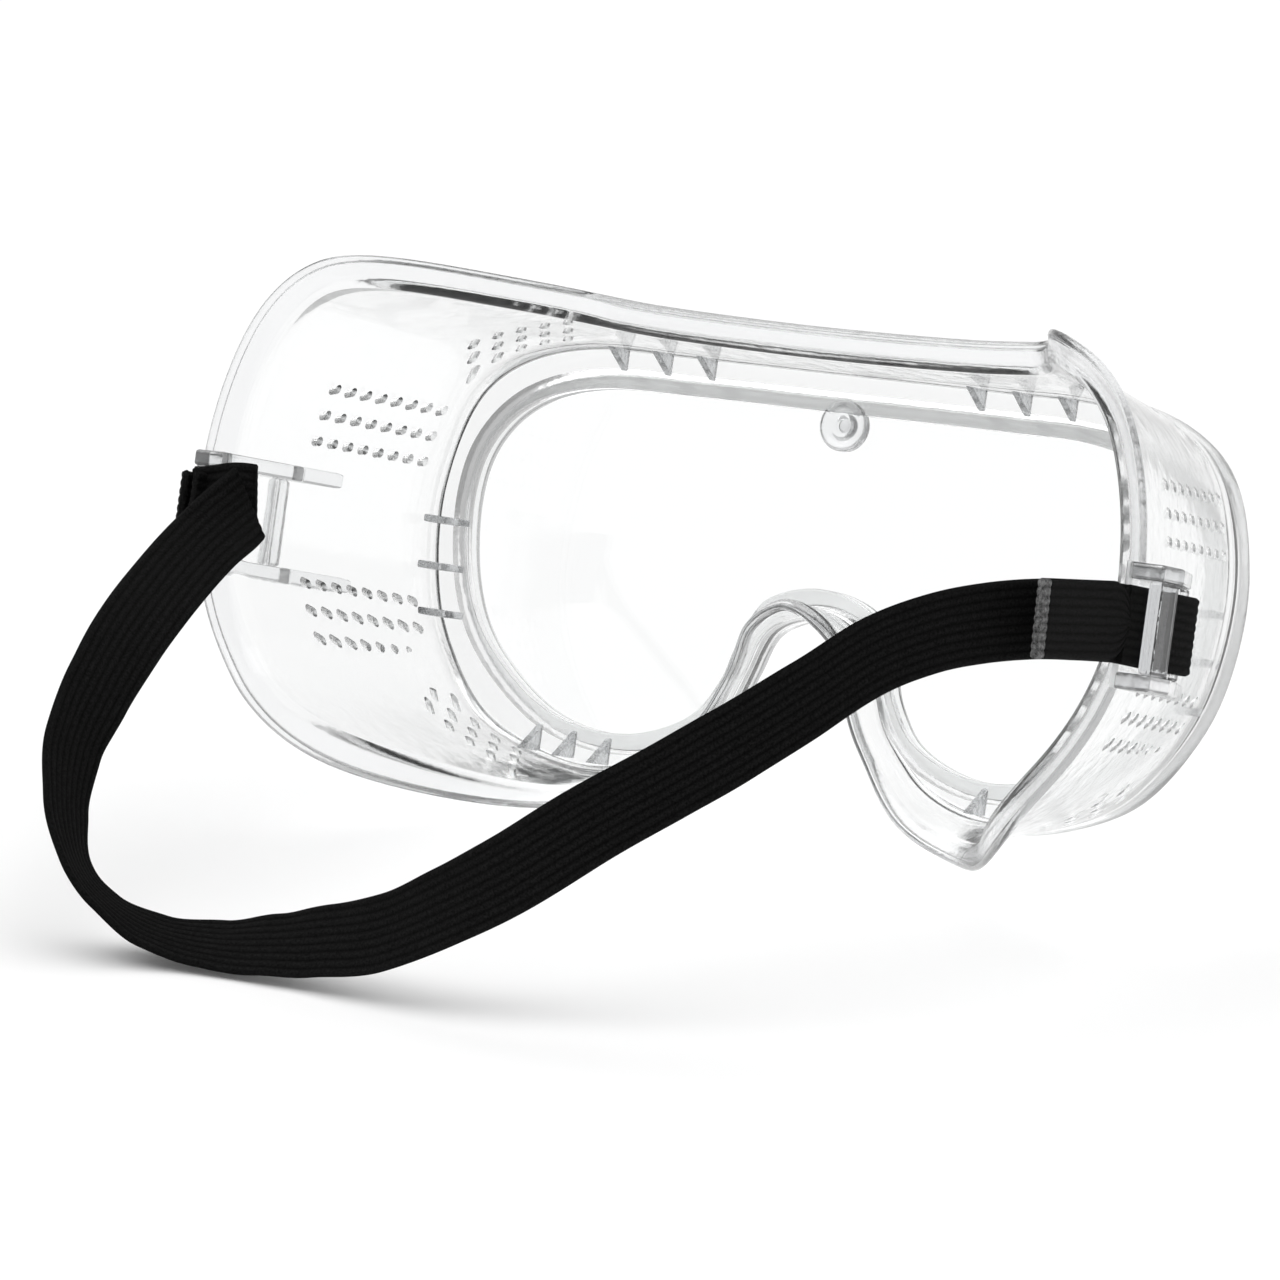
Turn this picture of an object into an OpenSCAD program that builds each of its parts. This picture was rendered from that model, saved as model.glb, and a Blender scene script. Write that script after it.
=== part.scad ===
// Safety goggles: a soft clear moulded body with perforated vents, a flat clear lens held in a
// groove, and a black elastic head strap threaded through a lug at each side.
// The body is designed upright (lens facing +Y, wearer at -Y) and then leant forward to the way
// it stands on a table: on the front rim and on the two cheek corners of the face flange.

/* [Body] */
// Half width of the face opening at the temples
face_half_w = 80; // [74:0.5:88]
// Depth of the body from the lens to the temples
temple_depth = 57; // [50:0.5:66]
// Depth of the body from the lens to the middle of the brow
brow_depth = 12; // [10:0.5:18]
// Depth of the body from the lens to the inner cheek
cheek_depth = 9; // [7:0.5:14]
// Depth of the body from the lens to the nose
nose_depth = 5; // [3:0.5:9]
// Half width of the front rim
front_half_w = 74.5; // [70:0.5:82]
// Height of the front rim's top edge above the lens centre
rim_top = 41.8; // [39:0.1:46]
// Depth of the front rim's bottom edge below the lens centre
rim_bottom = 31.5; // [28:0.1:36]
// Thickness of the moulded walls
wall = 1.8; // [1.4:0.1:2.4]
// Angle that the body leans forward at rest
rest_tilt = 16.9; // [10:0.1:24]

/* [Face flange] */
// Width of the lip that lies on the face
lip_w = 5.2; // [4:0.1:7]
// Thickness of the lip
lip_t = 1.8; // [1.4:0.1:2.6]
// How far the lip's outer edge flares back towards the face
lip_flare = 1.8; // [0:0.1:3]

/* [Lens] */
// Thickness of the lens
lens_t = 2; // [1.5:0.1:3]
// Depth that the lens enters the groove
groove_depth = 3.6; // [2.5:0.1:4]
// Gap between the lens's edge and the floor of the groove
groove_gap = 0.2; // [0.1:0.05:0.5]
// Thickness of the lip behind the lens
rear_lip_t = 1.8; // [1.2:0.1:2.5]
// Thickness of the lip in front of the lens
front_lip_t = 1.6; // [1.2:0.1:2.5]
// Diameter of the stud that pins the lens at the top
stud_d = 3; // [2:0.1:4]
// Width of the tab that hangs over the lens at the top
tab_w = 8.6; // [6:0.1:12]

/* [Vents] */
// Diameter of a vent hole
vent_d = 1.6; // [1:0.1:2]
// Distance between vent holes along a row
vent_pitch = 4.3; // [3.4:0.05:5]
// Distance between rows of vent holes
vent_row = 4.45; // [3.6:0.05:5.2]
// Number of holes in a side row
vent_count = 8; // [4:1:8]

/* [Gussets] */
// Thickness of a stiffening rib
rib_t = 1.2; // [0.8:0.1:2]
// Length of a stiffening rib along the wall
rib_l = 6.5; // [4:0.1:9]

/* [Strap] */
// Width of the elastic strap
strap_w = 12.5; // [10:0.1:16]
// Thickness of the elastic strap
strap_t = 1.2; // [0.8:0.1:1.3]
// Running gap between the strap, the wall and the bars
strap_gap = 0.3; // [0.2:0.05:0.5]
// Length of the adjusting tail behind the lug
tail_l = 24; // [14:0.5:32]
// Angle that the tail and the run's start droop from the slot's direction
tail_droop = 4; // [0:0.5:10]
// Length of the sealed tip of the tail
tip_l = 2.6; // [1.5:0.1:5]

/* [Lugs] */
// Play of the strap in the height of its slot
slot_play = 2.3; // [1:0.1:4]
// Height of the slot's middle above the lens centre
slot_z = 2.6; // [0:0.1:5]
// Thickness of the lug's top and bottom webs
web_t = 2.6; // [1.8:0.1:3.5]
// Depth of the rear bar along the wall
bar_d = 7; // [5:0.1:9]
// Thickness of the rear bar
bar_t = 2.4; // [1.8:0.1:3.5]
// Depth of the front post along the wall
post_d = 4; // [3:0.1:5]
// Distance from the rear bar to the front of the post
lug_l = 20.5; // [18:0.5:24]

/* [Hidden] */

clear_body = [0.93, 0.95, 0.96, 0.45];
clear_lens = [0.9, 0.93, 0.95, 0.3];
strap_black = [0.06, 0.06, 0.07];
tip_grey = [0.3, 0.3, 0.3];

slot_h = strap_w + slot_play;                 // height of the slot that the strap runs in
steps = 4;                                    // curve steps between two outline stations
rim_d = rear_lip_t + lens_t + front_lip_t;    // depth of the front rim

// ---- outlines: stations on the right half, from the top centre round to the nose centre ----
// Each is [x, z]; the left half is their mirror image.
rim_stations = [
    [0, rim_top], [28, rim_top], [48, rim_top - 0.4], [62, rim_top - 4.6],
    [front_half_w - 4, rim_top - 13], [front_half_w, rim_top - 28],
    [front_half_w - 0.8, -1], [front_half_w - 5, -13], [front_half_w - 14, rim_bottom_z(7)],
    [47, rim_bottom_z(1)], [35, rim_bottom_z(0)], [23, rim_bottom_z(4)],
    [14.5, -19], [11, -11], [7.8, -4], [0, -1]];
face_stations = [
    [0, rim_top - 0.5], [28, rim_top], [48, rim_top + 1.2], [64, rim_top],
    [face_half_w - 6.5, rim_top - 6.8], [face_half_w - 1.2, rim_top - 21],
    [face_half_w, 3.5], [face_half_w - 3.8, -11], [face_half_w - 12.5, -24],
    [57, -30.9], [42.5, -34.4], [28.5, -31.4],
    [17, -21.2], [12.5, -13], [8.6, -3.2], [0, 1.6]];
// The lens opening has its own stations, [x, z].
open_stations = [
    [0, rim_top - 8.3], [28, rim_top - 8.3], [46, rim_top - 8.8], [58, rim_top - 12.6],
    [front_half_w - 9.5, rim_top - 20], [front_half_w - 7.3, rim_top - 30],
    [front_half_w - 9, -1], [front_half_w - 14, -11], [front_half_w - 24, -19.8],
    [41, -23.4], [30.5, -23.5], [21, -19.5],
    [16.2, -13], [13.8, -6], [9.6, 1.4], [0, 4.2]];
// Width of the lip at each station, as a share of lip_w: it narrows beside the nose.
lip_share = [1, 1, 1, 1, 1, 1, 1, 1, 1, 1.15, 0.8, 0.6, 0.38, 0.38, 0.38, 0.38];

function rim_bottom_z(up) = up - rim_bottom;
function mirrored(list) = concat(list, [for (i = [len(list) - 2:-1:1]) [-list[i][0], list[i][1]]]);
function mirrored_values(list) = concat(list, [for (i = [len(list) - 2:-1:1]) list[i]]);
function at(list, i) = list[(i + len(list)) % len(list)];

// One point of a smooth closed curve through the stations.
function smooth(a, b, c, d, u) =
    0.5 * (2 * b + (c - a) * u + (2 * a - 5 * b + 4 * c - d) * u * u
        + (3 * b - a - 3 * c + d) * u * u * u);
function curve(list) = [for (i = [0:len(list) - 1]) for (k = [0:steps - 1])
    smooth(at(list, i - 1), at(list, i), at(list, i + 1), at(list, i + 2), k / steps)];

// The outline moved out by a distance, along each point's own normal.
function unit(v) = v / norm(v);
function outward(list, i) =
    let (t = unit(at(list, i + 1) - at(list, i - 1))) [-t[1], t[0]];
function grown(list, by) = [for (i = [0:len(list) - 1]) list[i] + by * outward(list, i)];
function grown_by(list, by) = [for (i = [0:len(list) - 1]) list[i] + by[i] * outward(list, i)];

rim_line = curve(mirrored(rim_stations));
face_line = curve(mirrored(face_stations));
open_line = curve(mirrored(open_stations));
lip_line = curve(mirrored_values(lip_share)) * lip_w;
count = len(rim_line);

// How far the face line lies behind the lens, at a point [x, z]: shallow at the brow and the
// nose, deep at the temples.
nose_half_w = 14;    // the body is shallowest within this distance of the middle
function ease(u) = let (v = min(1, max(0, u))) v * v * (3 - 2 * v);
function above(z) = ease((z + 10) / 20);
function face_depth(p) =
    let (w = above(p[1]),
         out = ease((abs(p[0]) - nose_half_w) / nose_half_w),
         cheek = nose_depth + (cheek_depth - nose_depth) * out,
         shallow = cheek + (brow_depth - cheek) * w,
         from = 33 + 6 * w,
         to = face_half_w - 10 - 3 * w)
    shallow + (temple_depth - shallow) * ease((abs(p[0]) - from) / (to - from));

face_y = [for (p = face_line) -face_depth(p)];
function at_y(list, ys) = [for (i = [0:count - 1]) [list[i][0], ys[i], list[i][1]]];
function same_y(list, y) = [for (p = list) [p[0], y, p[1]]];
function between(a, b, u) = [for (i = [0:count - 1]) a[i] * (1 - u) + b[i] * u];

// ---- where the body stands ----
function tilted(p) = [p[0], p[1] * cos(rest_tilt) + p[2] * sin(rest_tilt),
    p[2] * cos(rest_tilt) - p[1] * sin(rest_tilt)];
lip_outer = at_y(grown_by(face_line, lip_line), [for (y = face_y) y - lip_flare]);
lip_outer_back = [for (p = lip_outer) p - [0, lip_t, 0]];
rim_front = same_y(rim_line, rim_d);
lug_overhang = 1.5;     // how far the lug's rear bar stands behind the temple
lug_back_y = -temple_depth - lug_overhang;
// The strap's inner layer bends in round the wall's rear edge: the gap there grows with the
// wall's lean.
wall_lean = (face_half_w + wall - front_half_w) / temple_depth;
back_gap = max(strap_gap, 1.1 * lug_overhang * wall_lean + 0.05);
bar_play = 0.4;         // play of the strap's two layers under the rear bar
lug_x = face_half_w + wall + back_gap + 2 * strap_t + 2 * strap_gap + bar_play;
lug_corner = [lug_x + bar_t, lug_back_y, slot_z - slot_h / 2 - web_t];
corners = [for (p = concat(rim_front, lip_outer, lip_outer_back, [lug_corner])) tilted(p)];
y_mid = (min([for (p = corners) p[1]]) + max([for (p = corners) p[1]])) / 2;
z_low = min([for (p = corners) p[2]]);

// Puts a piece designed upright where the goggles stand.
module stand() {
    translate([0, -y_mid, -z_low]) rotate([-rest_tilt, 0, 0]) children();
}
module both_sides() {
    children();
    mirror([1, 0, 0]) children();
}

// ---- closed rings of cross-sections, joined into one solid ----
// rows is a list of closed loops of points, each of the same length; the last joins the first.
// The closing row is split along the other diagonal, so that it fits the piece joined on there.
function tube_faces(rows, n) = [for (r = [0:rows - 1]) for (i = [0:n - 1])
    let (a = r * n + i, b = r * n + (i + 1) % n,
         c = ((r + 1) % rows) * n + (i + 1) % n, d = ((r + 1) % rows) * n + i)
    each r == rows - 1 ? [[a, b, d], [b, c, d]] : [[a, b, c], [a, c, d]]];
module ring_solid(loops) {
    n = len(loops[0]);
    polyhedron([for (l = loops) each l], tube_faces(len(loops), n), convexity = 8);
}

// ---- the moulded body ----
shell_outer_front = same_y(rim_line, 0);
shell_inner_front = same_y(grown(rim_line, -wall), 0);
face_inner = at_y(face_line, face_y);
face_outer = at_y(grown(face_line, wall), face_y);

// How far the front of the side wall lies inside its widest line at a height below the middle.
function side_round(z) = z < 0 ? 0.0095 * z * z + 0.6 : 0;

vent_reach = 20;    // how far each vent's cut runs on past the wall, inside and outside
side_vent_y = -7;
side_vent_rows = [26, 26 - vent_row, 26 - 2 * vent_row, -6.6, -6.6 - vent_row, -6.6 - 2 * vent_row];
module side_vents() {
    for (z = side_vent_rows) for (i = [0:vent_count - 1])
        translate([front_half_w - vent_reach, side_vent_y - i * vent_pitch, z])
            rotate([0, 90, 0])
                cylinder(d = vent_d, h = face_half_w - front_half_w + 2 * vent_reach, $fn = 24);
}
module top_vents() {
    for (row = [0:2]) for (i = [0:4])
        translate([50 + i * vent_pitch - row * vent_pitch / 2, -6 - row * vent_row, 20])
            cylinder(d = vent_d, h = 40, $fn = 24);
}
module bottom_vents() {
    for (row = [0:2]) for (i = [0:4])
        translate([49 + i * vent_pitch - row * vent_pitch / 2, -6 - row * vent_row, -50])
            cylinder(d = vent_d, h = 40, $fn = 24);
}
module body_shell() {
    color(clear_body) stand() difference() {
        ring_solid([face_inner, between(shell_inner_front, face_inner, 0.5),
            shell_inner_front, shell_outer_front,
            between(shell_outer_front, face_outer, 0.5), face_outer]);
        both_sides() {
            side_vents();
            top_vents();
            bottom_vents();
        }
    }
}

// The lip leaves a gap at each lug, where the strap runs out through the slot.
module slot_cut() {
    translate([face_half_w + wall, -temple_depth - 20, slot_z - slot_h / 2 - web_t])
        cube([40, 40, slot_h + 2 * web_t]);
}
module face_flange() {
    back_inner = [for (p = face_inner) p - [0, lip_t, 0]];
    color(clear_body) stand() difference() {
        ring_solid([back_inner, face_inner, face_outer, lip_outer, lip_outer_back]);
        both_sides() slot_cut();
    }
}

module plate(line, y, t) {
    translate([0, y + t, 0]) rotate([90, 0, 0]) linear_extrude(height = t) polygon(line);
}
module lens_rim() {
    color(clear_body) stand() difference() {
        plate(rim_line, 0, rim_d);
        plate(open_line, -1, rim_d + 2);
        plate(grown(open_line, groove_depth), rear_lip_t, lens_t);
    }
}
module lens() {
    color(clear_lens) stand() difference() {
        plate(grown(open_line, groove_depth - groove_gap), rear_lip_t, lens_t);
        translate([0, rim_d, tab_z]) rotate([90, 0, 0])
            cylinder(d = stud_d + 2 * groove_gap, h = rim_d + 1, $fn = 32);
    }
}

// A round-ended tab hangs from the rear lip over the lens, and its stud enters the lens.
tab_z = rim_top - 10.3;
module lens_tab() {
    color(clear_body) stand() {
        translate([0, rear_lip_t, tab_z]) rotate([90, 0, 0])
            cylinder(d = tab_w, h = rear_lip_t, $fn = 48);
    }
}
module lens_stud() {
    color(clear_body) stand() translate([0, rear_lip_t + lens_t, tab_z]) rotate([90, 0, 0])
        cylinder(d = stud_d, h = lens_t, $fn = 32);
}

// ---- stiffening ribs between the wall and the front rim ----
// A triangular rib: foot on the rim's rear face, back along the wall.
module gusset(x, z, drop) {
    translate([x - rib_t / 2, 0, z]) rotate([0, 90, 0]) linear_extrude(height = rib_t)
        polygon([[0, 0], [drop, 0], [0, -rib_l]]);
}
module top_gussets() {
    z = rim_top - wall - 0.05;
    color(clear_body) stand() both_sides()
        for (x = [25, 33.3, 41.6]) gusset(x, z, 3.6);
}
module bottom_gussets() {
    color(clear_body) stand() both_sides()
        for (i = [0:2]) gusset(35 + 6.6 * i, -rim_bottom + wall + 0.25 + 0.45 * i, -4.6);
}
module side_gussets() {
    color(clear_body) stand() both_sides()
        for (i = [0:2]) {
            z = 7.8 * (1 - i);
            translate([front_half_w - wall - 0.5 - side_round(z), 0, z - rib_t / 2])
                linear_extrude(height = rib_t) polygon([[0, 0], [-5.5, 0], [0, -rib_l]]);
        }
}

// ---- strap lugs ----
// Outer surface of the side wall at depth y, at the lug's height.
function wall_x(y) = let (u = -y / temple_depth)
    front_half_w * (1 - u) + (face_half_w + wall) * u;
lug_front_y = lug_back_y + lug_l;
post_gap = 0.088;       // gap between the post's rear edge and the strap's inner layer
post_x = wall_x(lug_front_y - post_d) + strap_gap + strap_t + post_gap;
post_t = 2.2;           // thickness of the front post
lug_sink = 0.5;         // how far the lug runs into the wall
rib_reach = [11, 17];   // length of the tapering rib in front of the top and the bottom web
module web(z) {
    translate([0, 0, z]) linear_extrude(height = web_t) polygon([
        [wall_x(lug_back_y) - lug_sink, lug_back_y], [lug_x + bar_t, lug_back_y],
        [lug_x + bar_t, lug_back_y + bar_d + 1], [post_x + post_t, lug_front_y],
        [wall_x(lug_front_y) - lug_sink, lug_front_y]]);
}
module strap_lug() {
    web(slot_z + slot_h / 2);
    web(slot_z - slot_h / 2 - web_t);
    translate([post_x, lug_front_y - post_d, slot_z - slot_h / 2])
        cube([post_t, post_d, slot_h]);
}
module lug_bar() {
    translate([lug_x, lug_back_y, slot_z - slot_h / 2]) cube([bar_t, bar_d, slot_h]);
}
// A rib tapers from each web forward along the wall.
module lug_ribs() {
    for (end = [[slot_z + slot_h / 2, rib_reach[0]], [slot_z - slot_h / 2 - web_t, rib_reach[1]]])
        translate([0, 0, end[0]]) linear_extrude(height = web_t) polygon([
            [wall_x(lug_front_y) - lug_sink, lug_front_y], [post_x + post_t, lug_front_y],
            [wall_x(lug_front_y + end[1]) - lug_sink, lug_front_y + end[1]]]);
}
module strap_lug_right() { color(clear_body) stand() strap_lug(); }
module strap_lug_left() { color(clear_body) stand() mirror([1, 0, 0]) strap_lug(); }
module lug_bar_right() { color(clear_body) stand() lug_bar(); }
module lug_bar_left() { color(clear_body) stand() mirror([1, 0, 0]) lug_bar(); }
module lug_ribs_right() { color(clear_body) stand() lug_ribs(); }
module lug_ribs_left() { color(clear_body) stand() mirror([1, 0, 0]) lug_ribs(); }

// ---- the elastic strap ----
// A flat band swept along points; across holds the direction of its width at each point, and
// widths its width there.
module band(points, across, widths, t) {
    n = len(points);
    function along(i) = unit(points[min(i + 1, n - 1)] - points[max(i - 1, 0)]);
    rings = [for (i = [0:n - 1])
        let (side = unit(across[i] - (across[i] * along(i)) * along(i)) * widths[i] / 2,
             face = unit(cross(along(i), side)) * t / 2)
        each [points[i] - side - face, points[i] + side - face,
              points[i] + side + face, points[i] - side + face]];
    // Both broad faces are split along the same diagonal, so that a twist can't cross them.
    sides = [for (i = [0:n - 2]) for (k = [0:3])
        let (a = 4 * i + k, b = 4 * i + (k + 1) % 4)
        each k == 2 ? [[a, a + 4, b], [a + 4, b + 4, b]] : [[a, a + 4, b + 4], [a, b + 4, b]]];
    polyhedron(rings, concat([[0, 1, 2], [0, 2, 3]], sides,
        [[4 * n - 4, 4 * n - 2, 4 * n - 3], [4 * n - 4, 4 * n - 1, 4 * n - 2]]), convexity = 8);
}
// A band has a constant width, or ends in a half circle made of narrowing rings.
end_angles = [80, 65, 45, 25, 10];
function flat_widths(n) = [for (i = [0:n - 1]) strap_w];
function end_widths() = [for (a = end_angles) strap_w * cos(a)];
function end_points(p, dir) = [for (a = end_angles) p + dir * strap_w / 2 * sin(a)];
function backwards(list) = [for (i = [len(list) - 1:-1:0]) list[i]];

// An upright band seen from above: its points are [x, y], its height is the strap's width.
module upright_band(line, widths) {
    points = [for (p = line) [p[0], p[1], slot_z]];
    band(points, [for (p = line) [0, 0, 1]], widths, strap_t);
}

strap_end_y = lug_back_y - lip_t - 2.4;       // where the loops end behind the lug
inner_back_x = face_half_w + wall + back_gap + strap_t / 2;
outer_back_x = inner_back_x + strap_t + strap_gap;
inner_front_x = wall_x(lug_front_y - post_d) + strap_gap + strap_t / 2;
outer_front_x = post_x + post_t + strap_gap + strap_t / 2;
wrap_mid_x = (inner_front_x + outer_front_x) / 2;
wrap_r = (outer_front_x - inner_front_x) / 2;
module strap_loop_right() {
    line = concat(
        [[inner_back_x, strap_end_y], [inner_back_x, lug_back_y],
         [inner_front_x, lug_front_y - post_d]],
        [for (a = [180:-22.5:0])
            [wrap_mid_x + wrap_r * cos(a), lug_front_y + wrap_r * sin(a)]],
        [[outer_front_x, lug_front_y - post_d], [outer_back_x, lug_back_y + bar_d],
         [outer_back_x, lug_back_y], [outer_back_x, strap_end_y]]);
    color(strap_black) stand() upright_band(line, flat_widths(len(line)));
}
// At the left the strap is fixed: it runs through the slot and round the bar, and is joined to
// itself behind it.
fixed_in = lug_x - strap_gap - strap_t / 2;
fixed_out = lug_x + bar_t + strap_gap + strap_t / 2;
fixed_mid = (fixed_in + fixed_out) / 2;
fixed_r = (fixed_out - fixed_in) / 2;
module strap_loop_left() {
    line = concat(
        [[fixed_in, strap_end_y], [fixed_in, lug_back_y]],
        [for (a = [180:-22.5:0]) [fixed_mid + fixed_r * cos(a),
            lug_back_y + bar_d + strap_gap + fixed_r * sin(a)]],
        [[fixed_out, lug_back_y], [fixed_in + strap_t + 0.6, strap_end_y]]);
    color(strap_black) stand() mirror([1, 0, 0]) upright_band(line, flat_widths(len(line)));
}

// Where the strap leaves the lugs, it can swing about a line across both of them.
swing_y = strap_end_y - strap_w / 2 - 0.3;
swing_point = tilted([0, swing_y, slot_z]) - [0, y_mid, z_low];
forward = [0, cos(rest_tilt), -sin(rest_tilt)];
up_strap = [0, sin(rest_tilt), cos(rest_tilt)];

// The strap's free run, in the frame that the goggles stand in, from the right lug behind the
// goggles to the left lug: [x, y, z] of its middle. It was laid out for laid_at, the place of its
// first point; its ends move with the lugs, and its height shrinks or grows from the ground.
laid_at = [82.7, -41.408, 54.732];
laid_points = [
    [83, -48, 56], [80, -58, 58], [76, -68, 59], [72, -78, 59], [67, -88, 57],
    [61, -98, 52], [53, -106, 46], [44, -111, 40], [33, -115, 33], [20, -117, 24], [8, -117, 17],
    [-4, -115, 11], [-16, -112, 7.5], [-27, -110, 5], [-38, -109, 3.5], [-48, -110, 4.5],
    [-56, -111, 8.5], [-61.5, -110.5, 14], [-65, -107.5, 22], [-67.5, -101, 30], [-68.5, -91.5, 37],
    [-70, -79, 43], [-72.5, -66, 47.5], [-76.5, -57.5, 51], [-81, -51, 54.5],
    [-83.7, -46, 56]];
run_points = [for (p = laid_points) [
    p[0] * inner_back_x / laid_at[0],
    p[1] + swing_point[1] - laid_at[1],
    p[2] * swing_point[2] / laid_at[2]]];
// Direction of the strap's width at each of those points. It makes a half turn on the way.
run_across = [
    [0, 29, 96], [0, 29, 96], [0, 25, 97], [0, 22, 98], [0, 20, 98],
    [5, 15, 98], [10, 10, 98], [12, 0, 98], [15, 0, 97], [14, 8, 95], [10, 20, 93],
    [0, 35, 88], [-15, 58, 70], [-25, 78, 50], [-30, 90, 30], [-30, 94, 12],
    [-30, 94, -10], [-18, 92, -28], [5, 90, -40], [30, 78, -52], [50, 58, -60],
    [68, 40, -60], [80, 28, -53], [75, 15, -65], [45, -10, -88], [10, -27, -95]];
module strap_run() {
    first = [run_points[0][0], swing_point[1], swing_point[2]];
    last = [-run_points[0][0] - 1, swing_point[1], swing_point[2]];
    ends = len(end_angles);
    color(strap_black) band(
        concat(end_points(first, forward), [first], run_points, [last],
            backwards(end_points(last, forward))),
        concat([for (i = [0:ends]) up_strap], run_across, [for (i = [0:ends]) -up_strap]),
        concat(end_widths(), flat_widths(len(run_points) + 2), backwards(end_widths())),
        strap_t);
}

// The adjusting tail lies on the outer side of the run, and its tip is heat sealed.
tail_x = run_points[0][0] + strap_t + 0.6;
tail_y = swing_y - tail_l;
module drooping() {
    translate([0, swing_y, slot_z]) rotate([tail_droop, 0, 0]) translate([0, -swing_y, -slot_z])
        children();
}
module strap_tail() {
    line = concat([for (a = end_angles) [tail_x, swing_y + strap_w / 2 * sin(a)]],
        [[tail_x, swing_y], [tail_x, tail_y]]);
    color(strap_black) stand() drooping()
        upright_band(line, concat(end_widths(), flat_widths(2)));
}
module strap_tip() {
    color(tip_grey) stand() drooping()
        upright_band([[tail_x, tail_y], [tail_x, tail_y - tip_l]], flat_widths(2));
}

body_shell();
face_flange();
lens_rim();
lens();
lens_tab();
lens_stud();
top_gussets();
bottom_gussets();
side_gussets();
strap_lug_left();
strap_lug_right();
lug_bar_left();
lug_bar_right();
lug_ribs_left();
lug_ribs_right();
strap_run();
strap_loop_left();
strap_loop_right();
strap_tail();
strap_tip();
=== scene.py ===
"""Safety goggles: clear soft body, flat clear lens and a black elastic strap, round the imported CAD."""
import math

import bmesh
import bpy
import numpy as np
from mathutils import Matrix, Vector
from mathutils.bvhtree import BVHTree


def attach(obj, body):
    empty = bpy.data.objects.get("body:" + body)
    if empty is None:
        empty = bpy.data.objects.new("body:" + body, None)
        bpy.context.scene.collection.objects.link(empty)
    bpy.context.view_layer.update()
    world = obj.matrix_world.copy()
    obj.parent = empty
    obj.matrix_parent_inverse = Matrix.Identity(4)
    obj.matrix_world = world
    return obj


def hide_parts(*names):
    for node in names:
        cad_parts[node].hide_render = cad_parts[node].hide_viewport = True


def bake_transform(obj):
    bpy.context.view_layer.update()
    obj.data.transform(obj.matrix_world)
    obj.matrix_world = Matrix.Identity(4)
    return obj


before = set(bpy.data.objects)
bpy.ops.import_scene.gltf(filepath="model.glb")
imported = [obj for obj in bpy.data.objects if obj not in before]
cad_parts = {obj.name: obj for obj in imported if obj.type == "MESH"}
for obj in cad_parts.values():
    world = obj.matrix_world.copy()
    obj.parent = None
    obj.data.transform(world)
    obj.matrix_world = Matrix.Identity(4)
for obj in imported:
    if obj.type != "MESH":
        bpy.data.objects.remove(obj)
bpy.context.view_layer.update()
scene = bpy.context.scene

MM = 0.001

# ---------------------------------------------------------------- camera
CAM_AT = Vector((0.7251, -1.39146, 0.41776))
CAM_FORWARD = Vector((-0.4586, 0.8562, -0.2381)).normalized()
CAM_UP = Vector((-0.1124, 0.2099, 0.9713))
CAM_LENS = 278.3

cam_data = bpy.data.cameras.new("camera")
cam_data.lens = CAM_LENS
cam_data.sensor_width = 36.0
cam_data.clip_end = 20.0
camera = bpy.data.objects.new("camera", cam_data)
scene.collection.objects.link(camera)
right = CAM_FORWARD.cross(CAM_UP).normalized()
up = right.cross(CAM_FORWARD)
camera.matrix_world = Matrix.Translation(CAM_AT) @ Matrix(
    (right, up, -CAM_FORWARD)).transposed().to_4x4()
scene.camera = camera

# ---------------------------------------------------------------- sizes, as in the CAD, in mm
FACE_HALF_W = 80
TEMPLE_DEPTH = 57
BROW_DEPTH = 12
CHEEK_DEPTH = 9
NOSE_DEPTH = 5
NOSE_HALF_W = 14
FRONT_HALF_W = 74.5
RIM_TOP = 41.8
RIM_BOTTOM = 31.5
WALL = 1.8
TILT = math.radians(16.9)
LIP_W = 5.2
LIP_T = 1.8
LIP_FLARE = 1.8
LENS_T = 2
GROOVE_DEPTH = 3.6
GROOVE_GAP = 0.2
REAR_LIP_T = 1.8
FRONT_LIP_T = 1.6
STUD_D = 3
TAB_W = 8.6
TAB_Z = RIM_TOP - 10.3
RIM_D = REAR_LIP_T + LENS_T + FRONT_LIP_T
VENT_D = 1.6
VENT_PITCH = 4.3
VENT_ROW = 4.45
VENT_COUNT = 8
RIB_T = 1.2
RIB_L = 6.5
STRAP_W = 12.5
STRAP_T = 1.2
STRAP_GAP = 0.3
TAIL_L = 24
TAIL_DROOP = math.radians(4)
TIP_L = 2.6
SLOT_H = 14.8
SLOT_Z = 2.6
WEB_T = 2.6
BAR_D = 7
BAR_T = 2.4
POST_D = 4
LUG_L = 20.5
Y_MID = -24.0349
Z_LOW = -32.3732

# ---------------------------------------------------------------- sizes that only the looks use, in mm
GAP = 0.04          # clear pieces never share a surface: this much air lies between them
SINK = 0.25         # how far the lugs run into the wall
STRAP_RIBS = 9      # knitted ribs across the strap
RIB_RISE = 0.16     # how far a knitted rib stands out
ROW_STEP = 0.9      # about the length of a mesh row along the strap
ACROSS = 37         # mesh columns across one face of the strap

COS, SIN = math.cos(TILT), math.sin(TILT)


def place(p):
    """A point of the upright design, in mm, to where the goggles stand, in metres."""
    x, y, z = p
    return Vector((x, y * COS + z * SIN - Y_MID, z * COS - y * SIN - Z_LOW)) * MM


def low(rise):
    return rise - RIM_BOTTOM


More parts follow.
